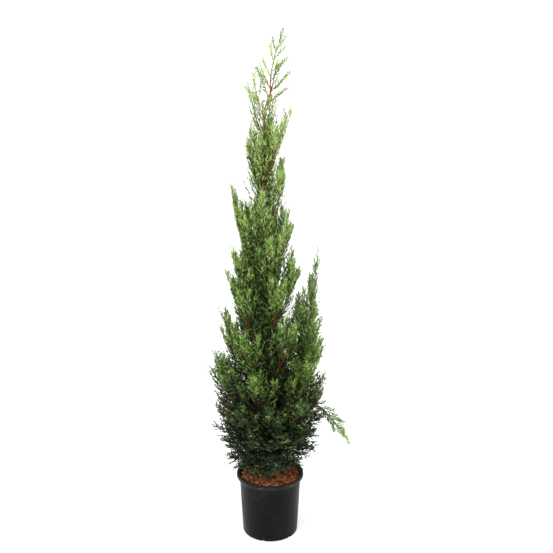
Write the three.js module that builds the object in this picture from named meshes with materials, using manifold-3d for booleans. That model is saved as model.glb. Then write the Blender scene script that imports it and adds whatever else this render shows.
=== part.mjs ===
// Leyland cypress in a black nursery pot: a slim evergreen about 2.1 m tall with its pot.
// Millimetres and degrees. +Z is up, +X is to the viewer's right and the viewer stands at -Y.
// The origin is the centre of the pot's flat underside. Azimuths turn from +X towards +Y.
import * as THREE from "three";
import { mergeVertices } from "three/addons/utils/BufferGeometryUtils.js";
import Module from "manifold-3d";

const wasm = await Module();
wasm.setup();

// Pot, and the bark mulch that fills it
const POT_HEIGHT = 272;
const RIM_RADIUS = 142.5;
const BODY_TOP_RADIUS = 130;
const BASE_RADIUS = 117;
const BASE_CORNER = 6;
const WALL = 3;
const LIP_HEIGHT = 17;
const LIP_EDGE = 4;
const POT_SEGMENTS = 32;
const SLOT_COUNT = 6;
const SLOT_WIDTH = 12;
const SLOT_HEIGHT = 20;
const SLOT_DEPTH = 11;
const SLOT_FIRST_DEG = -104;
const MULCH_BELOW_RIM = 16;
const MULCH_TOP = POT_HEIGHT - MULCH_BELOW_RIM;
const MULCH_LUMP = 5;
const MULCH_SINK = 0.6;
const MULCH_RINGS = 4;
const MULCH_FLAT_RADIUS = 42;

// Clearance between neighbours that touch on the real plant, and how near corners are to count as one
const GAP = 0.3;
const WELD = 0.001;

// Plant's main line from the mulch to its tip, which leans over to the right; the trunk gives way to the
// green leading shoot near the top
const PLANT_TOP = 2121;
const MAIN_LINE = [
  [0, 0, MULCH_TOP + GAP],
  [0, 0, 300],
  [-5, 5, 520],
  [-14, 2, 820],
  [-18, -4, 1120],
  [-21, 1, 1500],
  [-22, 2, 1720],
  [-13, 1, 1826],
  [2, 0, 1865],
  [5, -2, 1925],
  [16, 0, 1990],
  [38, 2, 2062],
  [50, 0, PLANT_TOP],
];
const TRUNK_TOP = 1925;
const TRUNK_RADIUS = 13;
const TRUNK_TIP_RADIUS = 2.6;
const TRUNK_TAPER = 0.9;
const FLARE = 8;
const FLARE_HEIGHT = 26;
const FLARE_LOBES = 5;
const FLARE_LOBE_DEPTH = 0.35;
const TRUNK_SIDES = 8;
const TRUNK_STEPS = 20;

// Crown: how far the longest shoots reach from the pot's axis, as [height, left, right]
const CROWN = [
  [300, 150, 138],
  [440, 214, 186],
  [560, 222, 222],
  [700, 252, 238],
  [800, 240, 242],
  [860, 204, 228],
  [980, 216, 152],
  [1050, 170, 136],
  [1160, 178, 126],
  [1280, 170, 106],
  [1340, 128, 100],
  [1500, 154, 66],
  [1580, 88, 66],
  [1700, 87, 78],
  [1830, 104, 87],
  [1940, 84, 88],
  [2000, 50, 72],
];

// How steeply a side shoot climbs from the trunk to its tip, as [height of the tip, slope]
const CLIMB = [
  [330, 8],
  [420, 22],
  [560, 38],
  [730, 52],
  [1000, 60],
  [1500, 72],
  [1830, 70],
  [1950, 62],
];

// Side shoots wind up the trunk by the golden angle, closer together where the crown is wide
const SIDE_SHOOTS = 26;
const BOUGH_SHOOTS = 15;
const GOLDEN_DEG = 137.508;
const FIRST_TURN_DEG = 96;
const LOWEST_TIP = 345;
const SPACING_LOW = 38;
const SPACING_HIGH = 93;
const LOWEST_FORK = MULCH_TOP + 36;
const REACH_SPREAD = 0.06;

// Where a bare bough gives way to its foliage, as a share of the shoot's length
const BOUGH_SHARE = 0.27;
const BOUGH_RADIUS = 5.5;
const BOUGH_TIP_RADIUS = 3.6;
const BOUGH_SIDES = 5;
const BOUGH_STEPS = 3;

// How far along and how far up a shoot's curve has its knee
const KNEE_OUT = 0.55;
const KNEE_UP = 0.36;

// Two shoots break the outline: an upright second leader, and a low branch that hangs down
const SECOND_LEADER = {
  fork: 455,
  line: [[62, 24, 560], [120, 28, 720], [154, 20, 880], [179, 8, 1070], [192, -2, 1248]],
  boughShare: 0.33,
  sprayCount: 13,
};
const DROOPING = {
  fork: 490,
  line: [[102, -8, 580], [194, -16, 586], [280, -20, 498], [342, -24, 404]],
  boughShare: 0.46,
  sprayCount: 10,
};

// Foliage: a stem that swells into a dense slim core, and stalked sprays that leave it by the golden angle
const STEM_SIDES = 5;
const STEM_STEPS = 6;
const STEM_RADIUS = 3.6;
const STEM_TIP_RADIUS = 2;
const STEM_SUNK = 6;
const STEM_LEAST = 0.4;
const CORE_RADIUS = 20;
const CORE_FULLNESS = 0.8;
const END_SPRAY_LENGTH = 125;
const SPRAY_LENGTH = 185;
const SPRAY_FAN_LOW_DEG = 58;
const SPRAY_FAN_HIGH_DEG = 38;
const SPRAY_ROLL_DEG = 45;
const SPRAY_RISE = 0.1;
const SPRAY_RIB = 0.02;
const SPRAY_RIDGE = 0.018;
const STALK_SHARE = 0.16;
const TEETH_END = 0.82;
const TOOTH_LENGTH = 0.66;
const TOOTH_FAN_DEG = 32;
const TOOTH_TAPER = 0.85;
const LONG_SPRAY = 112;
const LONG_PAIRS = 3;
const SHORT_PAIRS = 2;
const SHORTEST_SPRAY = 45;

// What is tried in turn until a spray fits: shares of its length, extra turns about the stem, and rolls
const SHRINKS = [1, 0.86, 0.72, 0.58, 0.46];
const TURNS_DEG = [0, 40, -40, 80, -80];
const ROLLS = [1, 0];

// Each mass of foliage keeps to its own space, and the sprays near the top are smaller
const MASS_REACH = 150;
const MASS_MARGIN = 1.6;
const LIMB_CLEARANCE = 2.2;
const LEAF_CLEARANCE = 6;
const CROWN_SLACK = 1.08;
const TOP_SPRAY_SCALE = 0.78;
const LINE_SPRAY_SCALE = 0.5;
const LEADER_SPRAY_SCALE = 0.45;

// How many sprays leave each side shoot, with and without a bough, and the leading shoot
const LOW_SPRAYS = 10;
const HIGH_SPRAYS = 9;
const LEADER_SPRAYS = 9;

// Where the random numbers of each kind start
const MULCH_SEED = 7;
const SHOOT_SEED = 20;
const FOLIAGE_SEED = 300;

const UP = new THREE.Vector3(0, 0, 1);
const radians = THREE.MathUtils.degToRad;
const lerp = THREE.MathUtils.lerp;
const point = (p) => new THREE.Vector3(...p);

// Finishes
const finishes = {
  pot: new THREE.MeshStandardMaterial({ color: 0x2b2c2d, roughness: 0.55, metalness: 0 }),
  mulch: new THREE.MeshStandardMaterial({ color: 0x8a4f2b, roughness: 0.95, metalness: 0 }),
  bark: new THREE.MeshStandardMaterial({ color: 0x7a4a33, roughness: 0.85, metalness: 0 }),
  foliage: new THREE.MeshStandardMaterial({ color: 0x4c6a2c, roughness: 0.7, metalness: 0 }),
};

// Random numbers from 0 to 1 in an order fixed by the seed
function seeded(seed) {
  let state = seed >>> 0;
  return () => {
    state = (state + 0x6d2b79f5) >>> 0;
    let mixed = Math.imul(state ^ (state >>> 15), state | 1);
    mixed = (mixed + Math.imul(mixed ^ (mixed >>> 7), mixed | 61)) ^ mixed;
    return ((mixed ^ (mixed >>> 14)) >>> 0) / 4294967296;
  };
}

// Straight-line reading of a table whose rows start with the height
function readTable(table, height, column) {
  const last = table.length - 1;
  if (height <= table[0][0]) return table[0][column];
  if (height >= table[last][0]) return table[last][column];
  const upper = table.findIndex((row) => row[0] >= height);
  const [low, high] = [table[upper - 1], table[upper]];
  return lerp(low[column], high[column], (height - low[0]) / (high[0] - low[0]));
}

// Reach of the crown from the pot's axis in one direction, where side runs from -1, left, to 1, right
function crownReach(height, side) {
  return lerp(readTable(CROWN, height, 1), readTable(CROWN, height, 2), (1 + side) / 2);
}

// Solids: closed meshes to join and cut, and back again
function solidFrom(positions, triangles) {
  return new wasm.Manifold(
    new wasm.Mesh({
      numProp: 3,
      vertProperties: new Float32Array(positions),
      triVerts: new Uint32Array(triangles),
    }),
  );
}

function welded(geometry) {
  geometry.deleteAttribute("normal");
  geometry.deleteAttribute("uv");
  return mergeVertices(geometry, WELD);
}

function solidOf(geometry) {
  const merged = welded(geometry);
  const corners = merged.index.array;
  const triangles = [];
  for (let i = 0; i < corners.length; i += 3) {
    const [a, b, c] = corners.slice(i, i + 3);
    if (a !== b && b !== c && c !== a) triangles.push(a, b, c);
  }
  return solidFrom(merged.attributes.position.array, triangles);
}

// The largest single body of a solid, with any sealed hollow filled and any loose scrap dropped
function mainBody(solid) {
  return solid.decompose().reduce((best, body) => (body.volume() > best.volume() ? body : best));
}

function namedMesh(name, solid, material) {
  const { vertProperties, triVerts } = solid.getMesh();
  const geometry = new THREE.BufferGeometry();
  geometry.setAttribute("position", new THREE.BufferAttribute(vertProperties, 3));
  geometry.setIndex(new THREE.BufferAttribute(triVerts, 1));
  geometry.computeVertexNormals();
  const mesh = new THREE.Mesh(geometry, material);
  mesh.name = name;
  return mesh;
}

// A round-the-axis solid from a profile of [radius, height] points
function turned(profile, segments) {
  const geometry = new THREE.LatheGeometry(profile.map(([r, z]) => new THREE.Vector2(r, z)), segments);
  return geometry.rotateX(Math.PI / 2);
}

// A limb along a curve from one share of its length to another, with flat ends square to the curve
function limb(curve, from, to, radiusAt, sides, steps) {
  const positions = [];
  const triangles = [];
  let across = new THREE.Vector3(1, 0, 0);
  for (let i = 0; i <= steps; i++) {
    const share = lerp(from, to, i / steps);
    const centre = curve.getPointAt(share);
    const along = curve.getTangentAt(share);
    if (i === 0 && Math.abs(along.x) > 0.9) across = new THREE.Vector3(0, 1, 0);
    across.addScaledVector(along, -across.dot(along)).normalize();
    const beside = along.clone().cross(across);
    for (let j = 0; j < sides; j++) {
      const turn = (2 * Math.PI * j) / sides;
      const radius = radiusAt(i / steps, turn, centre);
      const spot = centre.clone();
      spot.addScaledVector(across, radius * Math.cos(turn));
      spot.addScaledVector(beside, radius * Math.sin(turn));
      positions.push(...spot.toArray());
    }
  }
  const at = (i, j) => i * sides + (j % sides);
  for (let i = 0; i < steps; i++) {
    for (let j = 0; j < sides; j++) {
      triangles.push(at(i, j), at(i, j + 1), at(i + 1, j + 1));
      triangles.push(at(i, j), at(i + 1, j + 1), at(i + 1, j));
    }
  }
  for (let j = 1; j < sides - 1; j++) {
    triangles.push(at(0, 0), at(0, j + 1), at(0, j));
    triangles.push(at(steps, 0), at(steps, j), at(steps, j + 1));
  }
  return solidFrom(positions, triangles);
}

// Pot: a tapered bucket with a rolled lip, open at the top, with drain slots round its foot
function potSolid() {
  const lipFoot = POT_HEIGHT - LIP_HEIGHT;
  const bucket = solidOf(
    turned(
      [
        [0, 0],
        [BASE_RADIUS - BASE_CORNER, 0],
        [BASE_RADIUS - BASE_CORNER / 4, BASE_CORNER / 2],
        [BASE_RADIUS, BASE_CORNER * 1.5],
        [BODY_TOP_RADIUS, lipFoot],
        [RIM_RADIUS - LIP_EDGE, lipFoot + LIP_EDGE / 3],
        [RIM_RADIUS, lipFoot + LIP_EDGE * 1.5],
        [RIM_RADIUS - LIP_EDGE / 3, POT_HEIGHT - LIP_EDGE],
        [RIM_RADIUS - LIP_EDGE * 1.5, POT_HEIGHT],
        [BODY_TOP_RADIUS + WALL / 2, POT_HEIGHT - LIP_EDGE / 3],
        [BODY_TOP_RADIUS - WALL, lipFoot],
        [BASE_RADIUS - WALL, 2 * WALL],
        [BASE_RADIUS - 2 * WALL, WALL],
        [0, WALL],
      ],
      POT_SEGMENTS,
    ),
  );
  const slots = [];
  for (let i = 0; i < SLOT_COUNT; i++) {
    const slot = new THREE.BoxGeometry(2 * SLOT_DEPTH, SLOT_WIDTH, 2 * SLOT_HEIGHT);
    slot.translate(BASE_RADIUS, 0, 0);
    slot.rotateZ(radians(SLOT_FIRST_DEG + (360 / SLOT_COUNT) * i));
    slots.push(solidOf(slot));
  }
  return slots.reduce((pot, slot) => pot.subtract(slot), bucket);
}

// Mulch: fills the pot, lumpy on top and flat where the trunk stands
function mulchSolid(random) {
  const lipFoot = POT_HEIGHT - LIP_HEIGHT;
  const radiusAt = (z) => lerp(BASE_RADIUS, BODY_TOP_RADIUS, z / lipFoot) - WALL - 2 * GAP;
  const foot = WALL + GAP;
  const edge = radiusAt(MULCH_TOP);
  const profile = [
    [0, foot],
    [BASE_RADIUS - 3 * WALL, foot],
    [radiusAt(3 * WALL), 3 * WALL],
    [edge, MULCH_TOP - MULCH_LUMP],
  ];
  for (let ring = MULCH_RINGS; ring >= 0; ring--) {
    profile.push([lerp(MULCH_FLAT_RADIUS, edge - 2 * GAP, ring / MULCH_RINGS), MULCH_TOP]);
  }
  profile.push([0, MULCH_TOP]);
  const geometry = welded(turned(profile, POT_SEGMENTS));
  const spots = geometry.attributes.position;
  for (let i = 0; i < spots.count; i++) {
    const out = Math.hypot(spots.getX(i), spots.getY(i));
    const lumpy = spots.getZ(i) > MULCH_TOP - 1 && out > MULCH_FLAT_RADIUS + 1;
    if (lumpy) spots.setZ(i, MULCH_TOP + MULCH_LUMP * (random() - MULCH_SINK));
  }
  return solidOf(geometry);
}

// Trunk: tapers from a fluted root flare on the mulch to the foot of the leading shoot
const mainCurve = new THREE.CatmullRomCurve3(MAIN_LINE.map(point));

function shareAt(height) {
  const HALVINGS = 24;
  let [low, high] = [0, 1];
  for (let i = 0; i < HALVINGS; i++) {
    const middle = (low + high) / 2;
    if (mainCurve.getPointAt(middle).z < height) low = middle;
    else high = middle;
  }
  return low;
}

const trunkEnd = shareAt(TRUNK_TOP);

function trunkRadius(share, turn, centre) {
  const lift = centre.z - MULCH_TOP;
  const lobes = 1 + FLARE_LOBE_DEPTH * Math.cos(FLARE_LOBES * turn);
  const flare = FLARE * Math.exp(-lift / FLARE_HEIGHT) * lobes;
  return lerp(TRUNK_RADIUS, TRUNK_TIP_RADIUS, share ** TRUNK_TAPER) + flare;
}

function trunkSolid(extra) {
  const radiusAt = (share, turn, centre) => trunkRadius(share, turn, centre) + extra;
  return limb(mainCurve, 0, trunkEnd, radiusAt, TRUNK_SIDES, TRUNK_STEPS);
}

// Shoots: each has a curve from the trunk's core to its tip, and the share of it that is a bare bough
function sideShoot(index, random) {
  const progress = index / (SIDE_SHOOTS - 1);
  const height = LOWEST_TIP + index * lerp(SPACING_LOW, (SPACING_LOW + SPACING_HIGH) / 2, progress);
  const azimuth = radians(FIRST_TURN_DEG + GOLDEN_DEG * index);
  const side = Math.cos(azimuth);
  const reach = crownReach(height, side) * (1 - REACH_SPREAD * random());
  const tip = new THREE.Vector3(reach * side, reach * Math.sin(azimuth), height);
  const climb = Math.tan(radians(readTable(CLIMB, height, 1)));
  const fork = mainCurve.getPointAt(shareAt(Math.max(LOWEST_FORK, height - reach * climb)));
  const knee = fork.clone().lerp(tip, KNEE_OUT);
  knee.z = lerp(fork.z, tip.z, KNEE_UP);
  const onBough = index < BOUGH_SHOOTS;
  return {
    name: String(index + 1).padStart(2, "0"),
    curve: new THREE.QuadraticBezierCurve3(fork, knee, tip),
    from: 0,
    boughShare: onBough ? BOUGH_SHARE : 0,
    sprayScale: lerp(1, TOP_SPRAY_SCALE, progress),
    sprayCount: onBough ? LOW_SPRAYS : HIGH_SPRAYS,
    inCrown: true,
  };
}

function lineShoot(name, { fork, line, boughShare, sprayCount }) {
  const start = mainCurve.getPointAt(shareAt(fork));
  const curve = new THREE.CatmullRomCurve3([start, ...line.map(point)]);
  return { name, curve, from: 0, boughShare, sprayScale: LINE_SPRAY_SCALE, sprayCount, inCrown: false };
}

function allShoots(random) {
  const shoots = [];
  for (let i = 0; i < SIDE_SHOOTS; i++) shoots.push(sideShoot(i, random));
  shoots.push(lineShoot("second_leader", SECOND_LEADER));
  shoots.push(lineShoot("drooping", DROOPING));
  shoots.push({
    name: "leader",
    curve: mainCurve,
    from: trunkEnd,
    boughShare: 0,
    sprayScale: LEADER_SPRAY_SCALE,
    sprayCount: LEADER_SPRAYS,
    inCrown: false,
  });
  return shoots;
}

// Places where foliage may not go: spots along every limb, and spots along every mass's own stem
const LIMB_SPOTS = 40;
const TRUNK_SPOTS = 120;
const STEM_SPOTS = 14;
const STEM_FOOT = 0.12;

function spotsAlong(curve, from, to, count) {
  return Array.from({ length: count + 1 }, (_, i) => curve.getPointAt(lerp(from, to, i / count)));
}

const stemSpots = ({ curve, from, boughShare }) => {
  return spotsAlong(curve, Math.max(from, boughShare, STEM_FOOT), 1, STEM_SPOTS);
};

function limbSpots(shoots) {
  const found = spotsAlong(mainCurve, 0, trunkEnd, TRUNK_SPOTS).map((spot, i) => {
    return { spot, radius: trunkRadius(i / TRUNK_SPOTS, 0, spot) };
  });
  for (const { curve, boughShare } of shoots) {
    if (boughShare === 0) continue;
    const spots = spotsAlong(curve, 0, boughShare, LIMB_SPOTS);
    found.push(...spots.map((spot) => ({ spot, radius: BOUGH_RADIUS })));
  }
  return found;
}

const nearest = (spots, p) => Math.min(...spots.map((s) => s.distanceTo(p)));

// The space of one mass: whether a point is inside it, and how wide its core may be at a point on its stem
function makeSpace(shoot, shoots, limbs) {
  const own = stemSpots(shoot);
  const others = shoots.filter((other) => other !== shoot).flatMap(stemSpots);
  const toLimbs = (p) => Math.min(...limbs.map(({ spot, radius }) => spot.distanceTo(p) - radius));
  const inside = (p) => {
    const out = Math.hypot(p.x, p.y);
    const floor = out < BODY_TOP_RADIUS - 2 * LEAF_CLEARANCE ? MULCH_TOP : POT_HEIGHT;
    if (p.z < floor + LEAF_CLEARANCE || p.z > PLANT_TOP) return false;
    if (shoot.inCrown && out > CROWN_SLACK * crownReach(p.z, p.x / Math.max(out, 1))) return false;
    const toOwn = nearest(own, p);
    return toOwn < MASS_REACH && toOwn + MASS_MARGIN < nearest(others, p);
  };
  const room = (p) => {
    const above = p.z - POT_HEIGHT - LEAF_CLEARANCE;
    return Math.min(nearest(others, p) / 2 - MASS_MARGIN, toLimbs(p) - LIMB_CLEARANCE, above);
  };
  return { inside, room };
}

// A flat spray: a stalk and a rib with pairs of teeth that point forward, ridged on top and flat below.
// Corners are [along, across, up] as shares of its length: for each station its ridge, left foot and
// right foot, then the tip, then each pair of tooth tips.
function sprayCorners(pairs) {
  const fan = radians(TOOTH_FAN_DEG);
  const feet = [];
  const teeth = [];
  for (let station = 0; station <= pairs; station++) {
    const foot = station === 0 ? 0 : lerp(STALK_SHARE, TEETH_END, (station - 1) / pairs);
    const taper = 1 - TOOTH_TAPER * foot;
    const rib = SPRAY_RIB * taper;
    feet.push([foot, 0, SPRAY_RIDGE * taper], [foot, rib, 0], [foot, -rib, 0]);
    if (station === 0) continue;
    const [forward, sideways] = [Math.cos(fan), Math.sin(fan)].map((part) => TOOTH_LENGTH * taper * part);
    teeth.push([foot + forward, sideways, 0], [foot + forward, -sideways, 0]);
  }
  return [...feet, [1, 0, 0], ...teeth];
}

function sprayTriangles(pairs) {
  const end = 3 * (pairs + 1);
  const ridge = (station) => 3 * station;
  const foot = (station, flank) => (station > pairs ? end : 3 * station + 1 + flank);
  const tooth = (station, flank) => end + 2 * station - 1 + flank;
  const triangles = [ridge(0), foot(0, 0), foot(0, 1)];
  for (let station = 0; station <= pairs; station++) {
    for (const flank of [0, 1]) {
      const add = (a, b, c) => triangles.push(...(flank === 0 ? [a, b, c] : [a, c, b]));
      const [near, far, tip] = [foot(station, flank), foot(station + 1, flank), tooth(station, flank)];
      if (station === 0) {
        add(ridge(0), far, near);
      } else {
        add(ridge(station), tip, near);
        add(ridge(station), far, tip);
        add(near, tip, far);
      }
      if (station < pairs) add(ridge(station), ridge(station + 1), far);
    }
    if (station === pairs) continue;
    triangles.push(foot(station, 0), foot(station + 1, 0), foot(station + 1, 1));
    triangles.push(foot(station, 0), foot(station + 1, 1), foot(station, 1));
  }
  triangles.push(foot(pairs, 0), end, foot(pairs, 1));
  return triangles;
}

// One spray from a root point, bending up towards its tip, or nothing where it would leave its space
function spray(root, along, roll, size, inside) {
  const level = UP.clone().cross(along).normalize();
  const lifted = along.clone().cross(level);
  const across = level.clone().multiplyScalar(Math.cos(roll)).addScaledVector(lifted, Math.sin(roll));
  const up = along.clone().cross(across);
  const pairs = size > LONG_SPRAY ? LONG_PAIRS : SHORT_PAIRS;
  const corners = sprayCorners(pairs).map(([u, v, w]) => {
    const spot = root.clone().addScaledVector(along, u * size).addScaledVector(across, v * size);
    return spot.addScaledVector(up, w * size).addScaledVector(UP, SPRAY_RISE * size * u * u);
  });
  const outer = corners.slice(3);
  const middles = outer.map((spot) => spot.clone().lerp(root, 0.5));
  if (![...outer, ...middles].every(inside)) return null;
  return solidFrom(corners.flatMap((spot) => spot.toArray()), sprayTriangles(pairs));
}

// A direction that leans from a stem by the fan angle, at a turn about it
function leaning(along, turn, fan) {
  const level = UP.clone().cross(along).normalize();
  const lifted = along.clone().cross(level);
  const out = level.multiplyScalar(Math.cos(turn)).addScaledVector(lifted, Math.sin(turn));
  return along.clone().multiplyScalar(Math.cos(fan)).addScaledVector(out, Math.sin(fan)).normalize();
}

// The first way of placing a spray that works, largest first
function firstFitting(place) {
  for (const shrink of SHRINKS) {
    for (const extra of TURNS_DEG) {
      for (const rolled of ROLLS) {
        const piece = place(shrink, radians(extra), rolled);
        if (piece) return piece;
      }
    }
  }
  return null;
}

// Foliage: one stem with its core, sprays round it, and one spray at its end that reaches the shoot's tip
function foliageSolid(shoot, { inside, room }, random, trunkCut, guards) {
  const { curve, boughShare, sprayScale, sprayCount } = shoot;
  const length = curve.getLength();
  const apart = Math.max(boughShare, shoot.from);
  const from = apart > 0 ? apart + GAP / length : 0;
  const to = Math.max(1 - (END_SPRAY_LENGTH * sprayScale) / length, lerp(from, 1, STEM_LEAST));
  const stemRadius = (share, turn, centre) => {
    const swelling = (4 * share * (1 - share)) ** CORE_FULLNESS;
    const core = Math.min(CORE_RADIUS * sprayScale * swelling, room(centre));
    return Math.max(lerp(STEM_RADIUS, STEM_TIP_RADIUS, share) * Math.sqrt(sprayScale), core);
  };
  const whole = limb(curve, from, to, stemRadius, STEM_SIDES, STEM_STEPS);
  const stem = apart > 0 ? whole : mainBody(whole.subtract(trunkCut));

  const sunk = STEM_SUNK / length;
  const end = curve.getPointAt(to - sunk);
  const endways = curve.getPointAt(1).sub(end);
  endways.z -= SPRAY_RISE * endways.length();
  const sprays = [spray(end, endways.clone().normalize(), 0, endways.length(), () => true)];

  const start = Math.max(from, STEM_FOOT) + sunk;
  for (let i = 0; i < sprayCount; i++) {
    const share = lerp(start, to - sunk, (i + random()) / sprayCount);
    const root = curve.getPointAt(share);
    const along = curve.getTangentAt(share);
    const turn = radians(GOLDEN_DEG * i);
    const fan = radians(lerp(SPRAY_FAN_LOW_DEG, SPRAY_FAN_HIGH_DEG, (share - start) / (to - start)));
    const roll = radians(SPRAY_ROLL_DEG) * (2 * random() - 1);
    const found = firstFitting((shrink, extra, rolled) => {
      const size = SPRAY_LENGTH * sprayScale * shrink;
      if (size < SHORTEST_SPRAY) return null;
      const piece = spray(root, leaning(along, turn + extra, fan), roll * rolled, size, inside);
      const clear = piece && [...guards, ...sprays].every((other) => other.intersect(piece).isEmpty());
      return clear ? piece : null;
    });
    if (found) sprays.push(found);
  }
  return mainBody(wasm.Manifold.union([stem, ...sprays]));
}

// Boughs: bare limbs from the trunk's core to where their foliage begins
function boughSolid({ curve, boughShare }, extra) {
  const radiusAt = (share) => lerp(BOUGH_RADIUS, BOUGH_TIP_RADIUS, share) + extra;
  return limb(curve, 0, boughShare, radiusAt, BOUGH_SIDES, BOUGH_STEPS);
}

// The whole plant
function pottedCypress() {
  const plant = new THREE.Group();
  plant.name = "potted_leyland_cypress";
  const add = (name, solid, finish) => plant.add(namedMesh(name, solid, finish));
  add("pot", potSolid(), finishes.pot);
  add("bark_mulch", mulchSolid(seeded(MULCH_SEED)), finishes.mulch);
  add("trunk", trunkSolid(0), finishes.bark);

  const trunkCut = trunkSolid(GAP);
  const shoots = allShoots(seeded(SHOOT_SEED));
  const boughed = shoots.filter(({ boughShare }) => boughShare > 0);
  for (const shoot of boughed) {
    add(`bough_${shoot.name}`, mainBody(boughSolid(shoot, 0).subtract(trunkCut)), finishes.bark);
  }

  const limbs = limbSpots(shoots);
  const guards = [trunkSolid(LIMB_CLEARANCE), ...boughed.map((shoot) => boughSolid(shoot, LIMB_CLEARANCE))];
  shoots.forEach((shoot, i) => {
    const space = makeSpace(shoot, shoots, limbs);
    const foliage = foliageSolid(shoot, space, seeded(FOLIAGE_SEED + i), trunkCut, guards);
    add(`foliage_${shoot.name}`, foliage, finishes.foliage);
  });
  return plant;
}

export default pottedCypress();
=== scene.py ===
import math

import bpy
import numpy as np
from numpy.random import default_rng
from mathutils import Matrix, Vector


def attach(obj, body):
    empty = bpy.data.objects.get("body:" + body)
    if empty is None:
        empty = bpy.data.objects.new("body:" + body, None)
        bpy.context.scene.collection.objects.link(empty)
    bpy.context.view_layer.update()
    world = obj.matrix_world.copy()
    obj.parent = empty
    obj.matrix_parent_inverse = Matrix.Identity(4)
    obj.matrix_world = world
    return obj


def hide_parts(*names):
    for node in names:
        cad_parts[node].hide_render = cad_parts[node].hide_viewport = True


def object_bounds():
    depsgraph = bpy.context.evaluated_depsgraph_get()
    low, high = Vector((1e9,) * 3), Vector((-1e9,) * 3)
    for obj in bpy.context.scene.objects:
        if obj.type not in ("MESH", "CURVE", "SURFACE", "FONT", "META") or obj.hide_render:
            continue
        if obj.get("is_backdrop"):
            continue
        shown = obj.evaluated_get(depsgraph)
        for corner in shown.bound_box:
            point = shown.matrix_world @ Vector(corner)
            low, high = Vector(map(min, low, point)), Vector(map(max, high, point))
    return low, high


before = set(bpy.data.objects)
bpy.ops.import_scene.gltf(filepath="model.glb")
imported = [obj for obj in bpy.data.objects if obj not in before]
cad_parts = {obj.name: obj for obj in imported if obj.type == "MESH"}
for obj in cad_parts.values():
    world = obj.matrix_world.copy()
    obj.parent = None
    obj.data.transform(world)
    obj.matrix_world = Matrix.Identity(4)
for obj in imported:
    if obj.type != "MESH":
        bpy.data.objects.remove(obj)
cad_low, cad_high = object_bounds()

# A Leyland cypress in a black nursery pot. Sizes are in millimetres until a mesh is made, and the plant grows
# by the same rule as its solids: shoots wind up the trunk by the golden angle and carry sprays, which go on
# here to side twigs and branchlets. Tables whose rows start with a height are read between the rows.
MM = 0.001
TINY = 1e-6
UP = np.array([0.0, 0.0, 1.0])

# Pot
POT_HEIGHT = 272
RIM_RADIUS = 142.5
BODY_TOP_RADIUS = 130
BASE_RADIUS = 117
BASE_CORNER = 6
WALL = 3
BASE_THICK = WALL + 2
LIP_HEIGHT = 17
LIP_ROUND = 5.2
LIP_FOOT = POT_HEIGHT - LIP_HEIGHT
LIP_SHELF = BODY_TOP_RADIUS + 4
LIP_EDGE = RIM_RADIUS - LIP_ROUND
LIP_SKIN = 0.3
POT_SEGMENTS = 144
SLOT_COUNT = 6
SLOT_WIDTH = 12
SLOT_HEIGHT = 20
SLOT_DEPTH = 11
SLOT_BELOW = 5
SLOT_FIRST_DEG = -104
SLOT_TURNS = [math.radians(SLOT_FIRST_DEG + 360 / SLOT_COUNT * i) for i in range(SLOT_COUNT)]
# Light scuffs on the wall: across and height where each starts and ends, and how many marks it has
SCUFFS = [([-76, 217], [-32, 180], 10), ([-60, 168], [22, 123], 19), ([20, 247], [21, 238], 2)]
SCUFF_WANDER = 0.6

# Mulch: the bed, and the chips on it with their display colours and odds
MULCH_TOP = 256
MULCH_EDGE = BODY_TOP_RADIUS - WALL - 1.2
BED_TOP = MULCH_TOP - 8
CHIP_COUNT = 2200
CHIP_SIDES = 5
LAYER_HEIGHT = 2.6
TRUNK_CLEARANCE = 24
CHIP_TONES = {
    "chips_dark": ((92, 44, 22), 0.3),
    "chips_rust": ((172, 90, 42), 0.36),
    "chips_orange": ((214, 132, 70), 0.23),
    "chips_cream": ((234, 188, 134), 0.11),
}
# Chips in each drain slot from the bottom up, mostly dark as painted shade in the slot's recess
SLOT_CHIPS = ("chips_dark", "chips_dark", "chips_rust", "chips_dark", "chips_dark")

# Trunk and the plant's main line
GAP = 0.3
MAIN_LINE = [
    [0, 0, MULCH_TOP + GAP], [0, 0, 300], [-5, 5, 520], [-14, 2, 820], [-18, -4, 1120], [-21, 1, 1500],
    [-22, 2, 1720], [-13, 1, 1826], [2, 0, 1865], [5, -2, 1925], [16, 0, 1990], [38, 2, 2062], [50, 0, 2121],
]
TRUNK_TOP = 1925
TRUNK_RADIUS = 13
TRUNK_TIP_RADIUS = 2.6
TRUNK_TAPER = 0.9
YOUNG_BARK = 1700
FLARE = 8
FLARE_HEIGHT = 26
FLARE_LOBES = 5
FLARE_LOBE_DEPTH = 0.35
# Layers of bark relief: cells round the limb, length of a cell, depth as a share of the radius
BARK_LAYERS = [[9, 46, 0.13], [22, 17, 0.1], [13, 8, 0.07]]

# Reach of the crown as [height, left, right], and how steeply shoots climb, in degrees by height of the tip
CROWN = np.array([
    [300, 150, 138], [440, 214, 186], [560, 222, 222], [700, 252, 238], [800, 240, 242], [860, 204, 228],
    [980, 216, 152], [1050, 170, 136], [1160, 178, 126], [1280, 170, 106], [1340, 128, 100], [1500, 154, 66],
    [1580, 88, 66], [1700, 87, 78], [1830, 104, 87], [1940, 84, 88], [2000, 50, 72],
], float)
CLIMB = [[330, 8], [420, 22], [560, 38], [730, 52], [1000, 60], [1500, 72], [1830, 70], [1950, 62]]
# How far the low crown leans to the right, and how far sprays may pass the crown's reach
LEAN = [[300, 4], [440, 11], [600, 5.5], [700, 0]]
FRINGE = [[600, 0], [750, 17], [1620, 17], [1800, 0]]
CROWN_SLACK = 1.01
# How far a spray's axis may pass the solids' box across, front to back and up; below 0 it stays inside
BOX_SLACK = np.array([4, -4, 4])

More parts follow.
